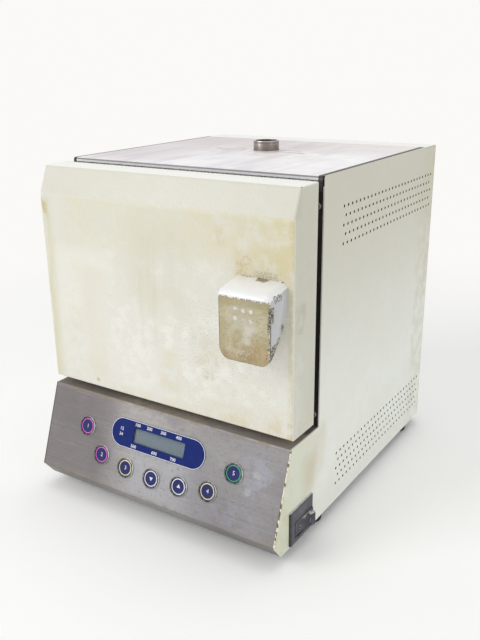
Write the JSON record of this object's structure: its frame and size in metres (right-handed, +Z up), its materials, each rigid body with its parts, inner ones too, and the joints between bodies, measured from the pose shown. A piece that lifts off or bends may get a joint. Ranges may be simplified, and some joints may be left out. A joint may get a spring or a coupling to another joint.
{
  "type": "dental burnout furnace",
  "caption": "Bench-top burnout furnace with a side-hung insulated door, a fibre muffle with side heaters, a flue stub on top and a sloping key panel with a display.",
  "frame": {"origin": "under the middle of the whole furnace, on the surface that the feet stand on", "axes": "+Z up along the flue stub, +Y from the door to the back, +X to the right as seen from the front"},
  "size_m": [0.3075, 0.3846, 0.3685],
  "materials": {
    "ivory_enamel": "satin",
    "stainless_top": "satin",
    "stainless_fascia": "satin",
    "dark_frame": "satin",
    "zinc_sheet": "satin",
    "hinge_steel": "satin",
    "screw_steel": "polished",
    "foot_rubber": "matte",
    "muffle_fibre": "matte",
    "hearth_ceramic": "matte",
    "bush_ceramic": "matte",
    "heater_alloy": "matte",
    "blanket_fibre": "matte",
    "seal_rope": "matte",
    "terminal_brass": "satin",
    "probe_steel": "satin",
    "flue_steel": "satin",
    "handle_enamel": "gloss",
    "magnet_black": "satin",
    "switch_black": "satin",
    "plunger_red": "satin",
    "label_blue": "satin",
    "window_clear": "gloss",
    "lcd_grey": "satin",
    "board_green": "satin",
    "key_black": "matte",
    "bezel_chrome": "polished",
    "cap_navy": "satin",
    "post_steel": "satin",
    "core_steel": "satin",
    "relay_grey": "matte",
    "gland_grey": "matte"
  },
  "bodies": {
    "cabinet": {"base_pan": "zinc_sheet", "board_standoffs": "post_steel", "button_bezels": "bezel_chrome", "cable_gland": "gland_grey", "casing_screws": "screw_steel", "chamber_gasket": "seal_rope", "chimney_pipe": "flue_steel", "control_fascia": "stainless_fascia", "display_board": "board_green", "display_label": "label_blue", "display_lens": "window_clear", "door_switch": "switch_black", "front_frame": "dark_frame", "hearth_plate": "hearth_ceramic", "heater_retainers": "bush_ceramic", "heater_terminals": "terminal_brass", "hinge_brackets": "hinge_steel", "hinge_pins": "hinge_steel", "inner_case": "zinc_sheet", "insulation_bottom": "blanket_fibre", "insulation_rear": "blanket_fibre", "insulation_sides": "blanket_fibre", "insulation_top": "blanket_fibre", "key_switches": "key_black", "latch_magnet": "magnet_black", "lcd_module": "lcd_grey", "lead_bushes": "bush_ceramic", "left_heater": "heater_alloy", "left_side_panel": "ivory_enamel", "main_board": "board_green", "muffle": "muffle_fibre", "power_switch_body": "switch_black", "rear_panel": "ivory_enamel", "right_heater": "heater_alloy", "right_side_panel": "ivory_enamel", "rubber_feet": "foot_rubber", "solid_state_relay": "relay_grey", "support_shelf": "zinc_sheet", "terminal_strip": "relay_grey", "thermocouple": "probe_steel", "top_plate": "stainless_top", "transformer": "core_steel"},
    "door": {"door_shell": "ivory_enamel", "door_back_plate": "zinc_sheet", "door_insulation": "blanket_fibre", "door_plug": "muffle_fibre", "door_handle": "handle_enamel", "door_screws": "screw_steel", "striker_plate": "hinge_steel", "door_hinge_leaves": "hinge_steel"},
    "key_1": {"button_cap_1": "cap_navy"},
    "key_2": {"button_cap_2": "cap_navy"},
    "key_3": {"button_cap_3": "cap_navy"},
    "key_4": {"button_cap_4": "cap_navy"},
    "key_5": {"button_cap_5": "cap_navy"},
    "key_6": {"button_cap_6": "cap_navy"},
    "key_7": {"button_cap_7": "cap_navy"},
    "rocker": {"power_rocker": "switch_black"},
    "plunger": {"door_switch_plunger": "plunger_red"}
  },
  "joints": [
    {"name": "door_hinge", "type": "hinge", "parent": "cabinet", "child": "door", "pos_m": [-0.14945, -0.1132, 0.229], "axis": [0, 0, 1], "range_deg": [-100, 0]},
    {"name": "key_1_press", "type": "slide", "parent": "cabinet", "child": "key_1", "axis": [0, 0.9411, -0.338], "range_m": [0, 0.001], "stiffness_N_per_m": 600, "springref_m": -0.0005},
    {"name": "key_2_press", "type": "slide", "parent": "cabinet", "child": "key_2", "axis": [0, 0.9411, -0.338], "range_m": [0, 0.001], "stiffness_N_per_m": 600, "springref_m": -0.0005},
    {"name": "key_3_press", "type": "slide", "parent": "cabinet", "child": "key_3", "axis": [0, 0.9411, -0.338], "range_m": [0, 0.001], "stiffness_N_per_m": 600, "springref_m": -0.0005},
    {"name": "key_4_press", "type": "slide", "parent": "cabinet", "child": "key_4", "axis": [0, 0.9411, -0.338], "range_m": [0, 0.001], "stiffness_N_per_m": 600, "springref_m": -0.0005},
    {"name": "key_5_press", "type": "slide", "parent": "cabinet", "child": "key_5", "axis": [0, 0.9411, -0.338], "range_m": [0, 0.001], "stiffness_N_per_m": 600, "springref_m": -0.0005},
    {"name": "key_6_press", "type": "slide", "parent": "cabinet", "child": "key_6", "axis": [0, 0.9411, -0.338], "range_m": [0, 0.001], "stiffness_N_per_m": 600, "springref_m": -0.0005},
    {"name": "key_7_press", "type": "slide", "parent": "cabinet", "child": "key_7", "axis": [0, 0.9411, -0.338], "range_m": [0, 0.001], "stiffness_N_per_m": 600, "springref_m": -0.0005},
    {"name": "rocker_tilt", "type": "hinge", "parent": "cabinet", "child": "rocker", "pos_m": [0.14455, -0.1372, 0.0265], "axis": [0, 0, 1], "range_deg": [0, 24]},
    {"name": "door_switch_slide", "type": "slide", "parent": "cabinet", "child": "plunger", "axis": [0, -1, 0], "range_m": [0, 0.003]}
  ],
  "couplings": [
    {"joint": "door_switch_slide", "follows": "door_hinge", "m_per_rad": -0.001718}
  ]
}
